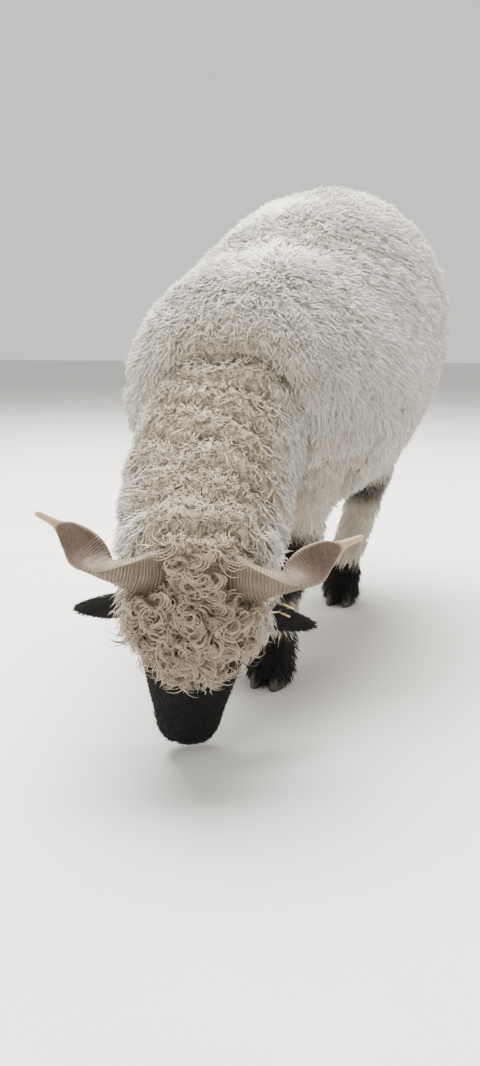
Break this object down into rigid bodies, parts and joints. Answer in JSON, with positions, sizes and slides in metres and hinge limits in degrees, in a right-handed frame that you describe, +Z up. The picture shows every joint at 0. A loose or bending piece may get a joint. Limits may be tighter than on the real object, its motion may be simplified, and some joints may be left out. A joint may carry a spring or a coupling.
{
  "type": "standing sheep figure",
  "caption": "Life-size long-woolled horned sheep standing with its head down to graze, with cream fleece, curly forelock and black face, ears and feet.",
  "frame": {"origin": "on the floor, under the middle of the part's bounding box", "axes": "+Z up; the sheep faces -Y, and +X is its left side"},
  "size_m": [0.53, 1.2192, 0.878],
  "materials": {
    "white_wool": "matt cream fleece",
    "curled_wool": "matt beige curls",
    "black_hair": "short black hair",
    "horn": "ridged satin horn",
    "hoof_horn": "dull dark hoof",
    "eye": "glossy dark eye",
    "tag_plastic": "satin yellow plastic"
  },
  "bodies": {
    "root": {"ear_left": "black_hair", "ear_right": "black_hair", "ear_tag": "tag_plastic", "eye_left": "eye", "eye_right": "eye", "foot_fore_left": "black_hair", "foot_fore_right": "black_hair", "foot_hind_left": "black_hair", "foot_hind_right": "black_hair", "head": "black_hair", "head_wool": "curled_wool", "hoof_fore_left_inner": "hoof_horn", "hoof_fore_left_outer": "hoof_horn", "hoof_fore_right_inner": "hoof_horn", "hoof_fore_right_outer": "hoof_horn", "hoof_hind_left_inner": "hoof_horn", "hoof_hind_left_outer": "hoof_horn", "hoof_hind_right_inner": "hoof_horn", "hoof_hind_right_outer": "hoof_horn", "horn_left": "horn", "horn_right": "horn", "leg_fore_left": "white_wool", "leg_fore_right": "white_wool", "leg_hind_left": "white_wool", "leg_hind_right": "white_wool", "neck": "white_wool", "tail": "white_wool", "torso": "white_wool"}
  },
  "joints": []
}
